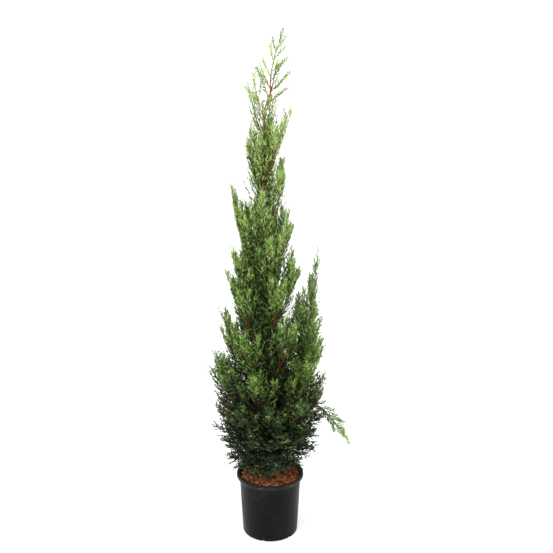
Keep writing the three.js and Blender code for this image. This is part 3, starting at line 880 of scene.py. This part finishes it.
def branch(line, first, last, step, long, short, bend, feather, rng, slack=CROWN_SLACK):
    """Side branches that leave a stem by the golden angle, turn up and carry sprays of their own."""
    for i, place, root, along in stations(line, first, last, step, 1, rng):
        way = leaning(along, GOLDEN * (i + 0.5), lerp(FAN_LOW, FAN_HIGH, place))
        way = unit(way + by_height(RISE, root[2]) * UP)
        size = fitting_spray(root, way, lerp(long, short, place) * uneven(rng, 0.8, 0.4), bend, slack)
        if size:
            side = Line(spray_line(root, way, size, bend)(np.linspace(0, 1, 24)))
            grow_stem(side, 0, 0.95, BRANCH_RADIUS)
            dress(
                side, 0.1, 0.94, BRANCH_SPRAY_STEP, long=0.66 * size, short=0.2 * size,
                bend=0.8 * bend, feather=feather, rng=rng, slack=slack,
            )


def frond(line, first, last, step, sizes, fans, across, feather, lift, plump, rng, names=SHADE_TO_LIGHT_AND_GROWTH):
    """Sprays on two sides of a stem, all near one plane, and one at its end. sizes and fans, in degrees, run
    evenly along it."""
    count = int((last - first) * line.length / step)
    marks = np.linspace(0, 1, len(sizes))
    for i in range(count + 1):
        place = np.clip((i + 0.3 * rng.standard_normal()) / count, 0, 1) if i < count else 1
        share = lerp(first, last, place)
        root = line.at(share)
        along = line.along(share)
        flat = unit(across - along * np.dot(across, along))
        out = (1 if i % 2 else -1) * flat + 0.3 * rng.standard_normal() * np.cross(along, flat)
        fan = math.radians(np.interp(place, marks, fans)) + 0.07 * rng.standard_normal()
        size = np.interp(place, marks, sizes) * uneven(rng, 0.88, 0.24)
        if i == count:
            fan = 0
            size = max(size, (1 - last) * line.length - TIP_LEAF)
        way = math.cos(fan) * along + math.sin(fan) * unit(out)
        tone = tone_of(root + MIDDLE * size * way, rng) + lerp(*lift, place)
        roll = 0.5 * (rng.random() - 0.5)
        grow_spray(root, way, size, 0, roll, feather, tone, rng, flat, plump, names)


def scale_leaves(line, first, last, count, across, length, radii, lift, rng):
    """Leaves pressed to a stem on alternate sides."""
    shares = np.linspace(first, last, count)
    spots = line.at(shares)
    ways = line.along(shares) + alternate(np.arange(count))[:, None] * across
    tones = np.array([tone_of(spot, rng) for spot in spots]) + np.linspace(*lift, count)
    deal(spots, ways, np.full(count, length), np.linspace(*radii, count), tones, SHADE_TO_LIGHT_AND_GROWTH)


# The crown
def grow_shoot(line, bare, thick, rng):
    tip_height = line.at(1.0)[2]
    bend = by_height(SHOOT_BEND, tip_height)
    long = by_height(LONG_SPRAY, tip_height)
    short = by_height(SHORT_SPRAY, tip_height)
    feather = by_height(FEATHER, tip_height)
    spacing = by_height(SPACING, tip_height)
    grow_stem(line, bare, STEM_END, thick)
    dress(line, bare, 0.95, spacing * SPRAY_STEP, 0.8 * long, short, bend, feather, rng)
    if tip_height < OPEN_TOP:
        branch(line, bare, 0.85, spacing * BRANCH_STEP, 1.25 * long, short, 1.6 * bend, feather, rng)


def grow_second_leader(rng):
    line, bare = second_leader
    grow_stem(line, bare, 0.97)
    dress(
        line, first=bare, last=0.93, step=SPRAY_STEP, long=105, short=34,
        bend=0.3, feather=0.38, rng=rng, slack=1.6, lift=(-0.12, -0.06),
    )
    branch(
        line, first=bare, last=0.75, step=20, long=150, short=60,
        bend=0.6, feather=0.4, rng=rng, slack=1.2,
    )


def grow_drooping(rng):
    line, bare = drooping
    lift = (-0.12, 0.62)
    plain_stem("green", line, bare, 0.97, radii=(STEM_RADIUS, STEM_TIP_RADIUS))
    frond(
        line, first=bare, last=0.9, step=11, sizes=[30, 56, 62, 44, 26, 8], fans=[24, 26, 24, 22, 18, 12],
        across=FROND_PLANE, feather=0.22, lift=lift, plump=1.3, rng=rng,
    )
    scale_leaves(
        line, first=bare, last=0.96, count=40, across=0.22 * FROND_PLANE,
        length=15.0, radii=(2.4, 1.6), lift=lift, rng=rng,
    )


def grow_leader(rng):
    end = 0.985
    plain_stem("pale", main_line, trunk_end, end, radii=(2.8, 1.2))
    frond(
        main_line, first=main_line.share_at_height(LEADER_START), last=0.965, step=20,
        sizes=[112, 100, 80, 62, 46], fans=[52, 42, 36, 30, 24],
        across=LEADER_PLANE, feather=0.16, lift=(-0.08, 0.08), plump=1.2, rng=rng,
    )
    scale_leaves(
        main_line, first=0.86, last=end, count=26, across=0.2 * LEADER_PLANE,
        length=16.0, radii=(2.4, 2.4), lift=(-0.06, -0.06), rng=rng,
    )


def grow_apron_frond(turn, rng):
    """A flat frond that hangs from the lowest part of the trunk over the mulch."""
    out = polar(1, turn)
    start = main_line.at_height(lerp(340, 430, rng.random()))
    reach = lerp(60, 88, rng.random())
    knee = start + 0.85 * reach * out + 6 * UP
    tip = start + reach * out
    tip[2] = lerp(292, 316, rng.random())
    line = bent_line(start, knee, tip)
    grow_stem(line, 0, STEM_END, BRANCH_RADIUS)
    frond(
        line, first=0.4, last=0.9, step=13, sizes=[32, 50, 54, 42, 22], fans=[50, 48, 44, 38, 30],
        across=np.cross(out, UP), feather=0.26, lift=(0.34, 0.46), plump=1.7, rng=rng, names=COOL_SHADE_TO_LIGHT_AND_GROWTH,
    )


def grow_inner_sprays(rng):
    """Short sprays that leave the trunk itself and fill the inside of the crown."""
    low = np.arange(304, LOW_CROWN, LOW_INNER_STEP)
    high = np.arange(LOW_CROWN, OPEN_TOP, INNER_STEP)
    for i, height in enumerate(np.concatenate([low, high])):
        share = main_line.share_at_height(height)
        root = main_line.at(share)
        bend = by_height(INNER_BEND, height)
        fan = math.radians(by_height(INNER_FAN_DEG, height))
        way = leaning(main_line.along(share), GOLDEN * i, fan)
        size = by_height(INNER_SIZE, height) * uneven(rng, 0.75, 0.4)
        size = fitting_spray(root, way, size, bend, CROWN_SLACK)
        if size:
            roll = any_roll(rng)
            tone = tone_of(middle_of(root, way, size, bend), rng)
            grow_spray(root, way, size, bend, roll, 0.3, tone, rng)


for i, (line, bare) in enumerate(side_shoots + lesser_shoots):
    thick = STEM_RADIUS if i < SIDE_SHOOTS else LESSER_RADIUS
    grow_shoot(line, bare, thick, default_rng(FOLIAGE_SEED + i))
for i, grow in enumerate((grow_second_leader, grow_drooping, grow_leader)):
    grow(default_rng(FOLIAGE_SEED + SIDE_SHOOTS + i))
for i in range(APRON_COUNT):
    grow_apron_frond(APRON_FIRST + GOLDEN * i, default_rng(APRON_SEED + i))
grow_inner_sprays(default_rng(FOLIAGE_SEED + SIDE_SHOOTS + 3))

foliage_nodes = sorted(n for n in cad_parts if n.startswith("foliage_"))
bough_nodes = sorted(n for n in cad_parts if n.startswith("bough_"))

for name, colour in TONES.items():
    look = grained(
        f"foliage_{name}", [(0.35, shade(colour, 0.86)), (0.65, shade(colour, 1.12))],
        scale=60, roughness=(0.52, 0.7), raised=(0.25, 0.0006), specular=0.19,
    )
    dressed(leaves[name].build(f"leaves_{name}", look, False), "foliage", foliage_nodes)


for kind, (look_name, piece_name, slot, roughness, raised, stops) in TWIG_LOOKS.items():
    look = grained(look_name, stops, 90, roughness, raised, stretch=(1, 1, 0.3))
    nodes = ["foliage_leader"] if kind == "pale" else foliage_nodes
    dressed(twigs[kind].build(piece_name, look, True), slot, nodes)


# Bark: the trunk and the boughs with fibrous relief
def relief(rng, cells, length, cell_length):
    """Soft noise that closes round the limb, read by turn and by place along it."""
    rows = int(length / cell_length) + 3
    grid = rng.random((rows, cells))

    def read(turn, place):
        u = turn / (2 * np.pi) * cells
        v = place / cell_length
        i, j = np.floor(v).astype(int), np.floor(u).astype(int)
        fu, fv = u - j, v - i
        fu, fv = fu * fu * (3 - 2 * fu), fv * fv * (3 - 2 * fv)
        low = lerp(grid[i, j % cells], grid[i, (j + 1) % cells], fu)
        high = lerp(grid[i + 1, j % cells], grid[i + 1, (j + 1) % cells], fu)
        return lerp(low, high, fv) - 0.5

    return read


def barked(line, first, last, radius_at, sides, step, rng):
    """A limb whose skin has long ridges, fibres and flakes."""
    length = (last - first) * line.length
    rings = max(8, int(length / step)) + 1
    part = np.linspace(0, 1, rings)
    turn, place = np.meshgrid(round_turns(sides), part * length)
    centres = line.at(np.linspace(first, last, rings))
    radii = radius_at(part[:, None], turn, centres[:, 2:])
    skin = 0
    for cells, cell_length, depth in BARK_LAYERS:
        skin = skin + depth * relief(rng, cells, length, cell_length)(turn, place)
    return tube(centres, radii * (1 + skin), sides)


def bough_radius(part, turn, height):
    return lerp(BOUGH_RADIUS, BOUGH_TIP_RADIUS, part) + BOUGH_COLLAR * np.exp(-part * COLLAR_FADE)


bark_look = grained(
    "bark", [(0.25, (58, 32, 22)), (0.45, (104, 58, 38)), (0.62, (136, 82, 56)), (0.8, (168, 124, 96))],
    scale=55, roughness=(0.7, 0.92), raised=(0.6, 0.0012), stretch=(1, 1, 0.16),
)
young_look = grained(
    "young_bark", [(0.25, (150, 82, 56)), (0.5, (186, 112, 78)), (0.75, (210, 152, 108))],
    scale=80, roughness=(0.55, 0.8), raised=(0.4, 0.0008), stretch=(1, 1, 0.2),
)
bark_rng = default_rng(11)
young = main_line.share_at_height(YOUNG_BARK) / trunk_end
for name, look, low, high, sides in (
    ("trunk_bark", bark_look, 0, young, 44),
    ("trunk_young_bark", young_look, young, 1, 20),
):
    skin = barked(
        main_line, low * trunk_end, high * trunk_end,
        lambda part, turn, height: trunk_radius(lerp(low, high, part), turn, height), sides, 3.2, bark_rng,
    )
    dressed([mesh_object(name, *skin, look, True)], "bark", ["trunk"])
boughs = Batch()
for line, bare in [*side_shoots[:BOUGH_SHOOTS], second_leader, drooping]:
    boughs.add(*barked(line, 0, bare + 0.01, bough_radius, sides=16, step=3, rng=bark_rng))
dressed(boughs.build("boughs_bark", bark_look, True), "bark", bough_nodes)


# Pot: a turned wall with a rolled lip, and drain slots cut through its foot
def arc(x, z, radius, first, last, steps):
    turns = np.radians(np.linspace(first, last, steps))
    return [[x + radius * math.cos(t), z + radius * math.sin(t)] for t in turns]


def lip_outline(first, skin):
    """The rolled lip from an angle at its foot over its top to its inside, moved out by a skin."""
    return [
        *arc(LIP_EDGE, LIP_FOOT + LIP_ROUND, LIP_ROUND + skin, first, 10, 8),
        *arc(LIP_EDGE - 0.6, POT_HEIGHT - LIP_ROUND, LIP_ROUND + skin, 12, 100, 8),
        *arc(BODY_TOP_RADIUS + 3.2, POT_HEIGHT - 4, 3.4 + skin, 80, 165, 6),
    ]


def wall_radius(height):
    return lerp(BASE_RADIUS, BODY_TOP_RADIUS, height / LIP_FOOT)


def pot_profile():
    heights = np.linspace(BASE_CORNER, LIP_FOOT - 3, 12)[1:]
    return [
        [0, 2],
        [BASE_RADIUS - 16, 2],
        [BASE_RADIUS - 13, 0],
        *arc(BASE_RADIUS - BASE_CORNER, BASE_CORNER, BASE_CORNER, -90, -8, 7),
        *[[wall_radius(z), z] for z in heights],
        [BODY_TOP_RADIUS + 1.2, LIP_FOOT - 0.6],
        [LIP_SHELF, LIP_FOOT],
        *lip_outline(-80, 0),
        [BODY_TOP_RADIUS - WALL, LIP_FOOT],
        [BASE_RADIUS - WALL, 2 * WALL],
        [BASE_RADIUS - 2 * WALL, BASE_THICK],
        [0, BASE_THICK],
    ]


def slot_cutters():
    """Rounded wedges round the foot of the pot, one for each drain slot."""
    cutters = Batch()
    half = SLOT_WIDTH / 2
    shoulder = SLOT_HEIGHT - half
    shape = [[-half, -SLOT_BELOW], [half, -SLOT_BELOW], [half, shoulder], *arc(0, shoulder, half, 30, 150, 5)]
    shape += [[-half, shoulder]]
    for turn in SLOT_TURNS:
        out = polar(1, turn)
        aside = np.array([-math.sin(turn), math.cos(turn), 0])
        ends = [
            [out * far + aside * x + UP * z for x, z in shape]
            for far in (BASE_RADIUS - SLOT_DEPTH, BASE_RADIUS + SLOT_DEPTH)
        ]
        cutters.add(np.vstack(ends), closed(2, len(shape)))
    return cutters


def pot_material():
    material, tree, shader = new_material("pot_plastic")
    dust = noise(tree, scale=9, detail=6)
    speck = noise(tree, scale=260, detail=3)
    wire(tree, shader, {
        "Base Color": ramp(tree, dust, [(0.3, (3, 3, 4)), (0.56, (7, 7, 8)), (0.74, (30, 30, 29))]),
        "Roughness": spread(tree, dust, 0.32, 0.52),
        "Normal": bump(tree, speck, strength=0.12, distance=0.0006),
    })
    put(shader, {"Specular IOR Level": 0.11})
    return material


pot = mesh_object("pot_shell", *lathe(pot_profile(), POT_SEGMENTS), pot_material(), True)
cutter = slot_cutters().build("slot_cutter", pot.data.materials[0], False)[0]
cut = pot.modifiers.new("slots", "BOOLEAN")
cut.operation = "DIFFERENCE"
cut.solver = "EXACT"
cut.object = cutter
bpy.context.view_layer.update()
shaped = bpy.data.meshes.new_from_object(pot.evaluated_get(bpy.context.evaluated_depsgraph_get()))
pot.modifiers.clear()
pot.data = shaped
pot.data.set_sharp_from_angle(angle=math.radians(38))
bpy.data.objects.remove(cutter)
dressed([pot], "pot", ["pot"])

# A skin over the lip: worn plastic with pale specks, and painted highlight in a grey lighter than the wall's
lip_profile = [
    [LIP_SHELF, LIP_FOOT + 2],
    *lip_outline(-70, LIP_SKIN),
    [BODY_TOP_RADIUS + 3, LIP_FOOT + 8],
]
# The lip's lighter greys are painted highlight; its palest specks are wear
lip_look = grained(
    "worn_lip_and_painted_highlight", [(0.38, (10, 10, 11)), (0.52, (20, 20, 21)), (0.62, (36, 36, 37)), (0.74, (104, 104, 102))],
    scale=70, roughness=(0.36, 0.6), raised=(0.3, 0.001), specular=0.24, detail=7,
)
lip = mesh_object("pot_lip", *loop(lip_profile, POT_SEGMENTS), lip_look, True)
lip.data.set_sharp_from_angle(angle=math.radians(50))
dressed([lip], "pot", ["pot"])

# Scuffs on the wall, as rows of small marks
scuff_rng = default_rng(3)
scuffs = Batch()
for start, end, count in SCUFFS:
    row = np.linspace(start, end, count) + SCUFF_WANDER * scuff_rng.standard_normal((2, count)).T
    across, height = row.T
    spots = np.stack([across, -np.sqrt(wall_radius(height) ** 2 - across**2), height], axis=-1)
    lengths = uneven(scuff_rng, 2, 1.6, count)
    radii = uneven(scuff_rng, 0.35, 0.25, count)
    scuffs.add(*leaflets(spots, np.gradient(spots, axis=0), lengths, radii, np.full(count, np.pi)))
scuff_look = grained(
    "scuffs", [(0.35, (84, 84, 83)), (0.65, (124, 124, 122))],
    scale=300, roughness=(0.6, 0.8), raised=(0.2, 0.0004),
)
dressed(scuffs.build("pot_scuffs", scuff_look, False), "pot", ["pot"])

# Mulch: a dark bed under bark chips of four tones
mulch_rng = default_rng(7)
bed_profile = [
    [0, WALL + 2.4],
    [BASE_RADIUS - 3 * WALL, WALL + 2.4],
    [BASE_RADIUS - 4.6, 3 * WALL],
    [MULCH_EDGE, MULCH_TOP - 11],
    *[[MULCH_EDGE * share, BED_TOP] for share in np.linspace(1, 0.02, 26)],
    [0, BED_TOP],
]
bed_corners, bed_faces = lathe(bed_profile, 96)
top = bed_corners[:, 2] > BED_TOP - 1
bed_corners[top, 2] += 5 * (mulch_rng.random(top.sum()) - 0.4)
bed_look = grained(
    "mulch_bed", [(0.3, (40, 22, 13)), (0.55, (84, 42, 22)), (0.75, (120, 66, 34))],
    scale=120, roughness=(0.8, 0.98), raised=(0.7, 0.002),
)
dressed([mesh_object("mulch_bed", bed_corners, bed_faces, bed_look, True)], "mulch", ["bark_mulch"])


def swung(corners, angle, first, second):
    """Corners turned by an angle in the plane of two axes."""
    swing = np.eye(3)
    swing[first, first] = swing[second, second] = math.cos(angle)
    swing[first, second] = math.sin(angle)
    swing[second, first] = -math.sin(angle)
    return corners @ swing


def chip(place, yaw, tilt, size, rng):
    """A bark chip: a slab with three uneven five-sided sections and ragged ends."""
    turns = 2 * np.pi * (np.arange(CHIP_SIDES) + 0.3 * rng.random(CHIP_SIDES)) / CHIP_SIDES
    sections = []
    for along, full in ((-0.5, 0.62), (0.08 * rng.standard_normal(), 1), (0.5, 0.5)):
        section = np.stack([
            np.full(CHIP_SIDES, along) + 0.09 * rng.standard_normal(CHIP_SIDES),
            full * np.cos(turns) * (0.4 + 0.18 * rng.random(CHIP_SIDES)),
            full * np.sin(turns) * (0.4 + 0.18 * rng.random(CHIP_SIDES)),
        ], axis=-1)
        sections.append(section * list(size))
    corners = swung(np.vstack(sections), tilt[0], 0, 2)
    corners = swung(swung(corners, tilt[1], 1, 2), yaw, 0, 1)
    return corners + place, closed(3, CHIP_SIDES)


chips = {name: Batch() for name in CHIP_TONES}
chip_names = list(CHIP_TONES)
chip_odds = np.cumsum([odds for _, odds in CHIP_TONES.values()])
for i in range(CHIP_COUNT):
    layer = i % 3
    out = MULCH_EDGE * math.sqrt((i + 0.5) / CHIP_COUNT)
    turn = GOLDEN * i + 0.2 * mulch_rng.standard_normal()
    length = lerp(8, 19, mulch_rng.random() ** 1.6)
    width = lerp(3.2, 7, mulch_rng.random())
    thick = lerp(2.2, 4.4, mulch_rng.random())
    height = MULCH_TOP - 7.5 + LAYER_HEIGHT * layer + 2.2 * mulch_rng.random()
    reach = min(out, MULCH_EDGE - 0.42 * length)
    # Lower layers lean to dark chips and the top one to pale chips: painted shade in the gaps between chips
    kind = int(np.searchsorted(chip_odds, mulch_rng.random() + 0.12 * (layer - 1)))
    tilt = 0.34 * mulch_rng.standard_normal(2)
    yaw = 2 * np.pi * mulch_rng.random()
    if reach > TRUNK_CLEARANCE:
        spot = polar(reach, turn, height)
        name = chip_names[min(kind, len(chip_names) - 1)]
        chips[name].add(*chip(spot, yaw, tilt, (length, width, thick), mulch_rng))

# Mulch that shows in the drain slots, mostly dark chips as painted shade in the recess
for turn in SLOT_TURNS:
    for k, name in enumerate(SLOT_CHIPS):
        far = BASE_RADIUS - 6 - 1.2 * k
        spot = polar(far, turn, 2.8 + LAYER_HEIGHT * k)
        yaw = turn + math.pi / 2 + 0.3 * mulch_rng.standard_normal()
        chips[name].add(*chip(spot, yaw, (0, 0), (11, 6, 4.6), mulch_rng))
for name, (colour, _) in CHIP_TONES.items():
    look = grained(
        name, [(0.3, shade(colour, 0.66)), (0.5, colour), (0.72, shade(colour, 1.22))],
        scale=150, roughness=(0.7, 0.95), raised=(0.6, 0.0014), stretch=(1, 1, 2),
    )
    dressed(chips[name].build(f"mulch_{name}", look, False), "mulch", ["bark_mulch"])

# Stage
floor_turns = round_turns(FLOOR_SEGMENTS)
floor_rim = np.stack([np.cos(floor_turns), np.sin(floor_turns), 0 * floor_turns], axis=-1) * FLOOR_RADIUS
j = np.arange(FLOOR_SEGMENTS)
floor_faces = np.stack([0 * j, j + 1, (j + 1) % FLOOR_SEGMENTS + 1], axis=-1)
floor_look = grained(
    "floor", [(0.3, (249, 249, 249)), (0.7, (251, 251, 251))],
    scale=2, roughness=(0.85, 0.95), raised=(0.02, 0.001),
)
floor_shader = floor_look.node_tree.nodes["Principled BSDF"]
put(floor_shader, {"Emission Color": (1, 1, 1, 1), "Emission Strength": 0.4})
floor = mesh_object("floor", np.vstack([[[0, 0, 0]], floor_rim]), floor_faces, floor_look, False)
floor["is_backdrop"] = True


# Lights and camera
def add_to_scene(name, data):
    item = bpy.data.objects.new(name, data)
    bpy.context.scene.collection.objects.link(item)
    return item


def facing(way):
    return Vector(way).to_track_quat("-Z", "Y").to_euler()


sun = bpy.data.lights.new("soft_key", "SUN")
sun.energy = 2.1
sun.angle = math.radians(85)
sun.color = (1, 0.985, 0.96)
add_to_scene("soft_key", sun).rotation_euler = facing((0.32, 0.6, -1.0))
for name, (place, aim, size, power) in FILLS.items():
    light = bpy.data.lights.new(name, "AREA")
    light.shape = "RECTANGLE"
    light.size, light.size_y = size
    light.energy = power
    light.color = (0.97, 0.99, 1)
    lamp = add_to_scene(name, light)
    lamp.location = place
    lamp.rotation_euler = facing(Vector(aim) - Vector(place))

world = bpy.data.worlds.new("studio")
bpy.context.scene.world = world
world.use_nodes = True
put(world.node_tree.nodes["Background"], {"Color": (1, 1, 1, 1), "Strength": 0.47})

camera_data = bpy.data.cameras.new("camera")
camera_data.sensor_width = 36
camera_data.lens = 64.15
camera_data.clip_end = 1000
camera = add_to_scene("camera", camera_data)
camera.location = (0.02746, -3.8, 2.28)
camera.rotation_euler = (math.radians(90 - CAMERA_DOWN_DEG), 0, 0)
bpy.context.scene.camera = camera
bpy.context.scene.view_settings.view_transform = "Standard"

low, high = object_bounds()
{"cad": [list(cad_low), list(cad_high)], "visual": [list(low), list(high)]}
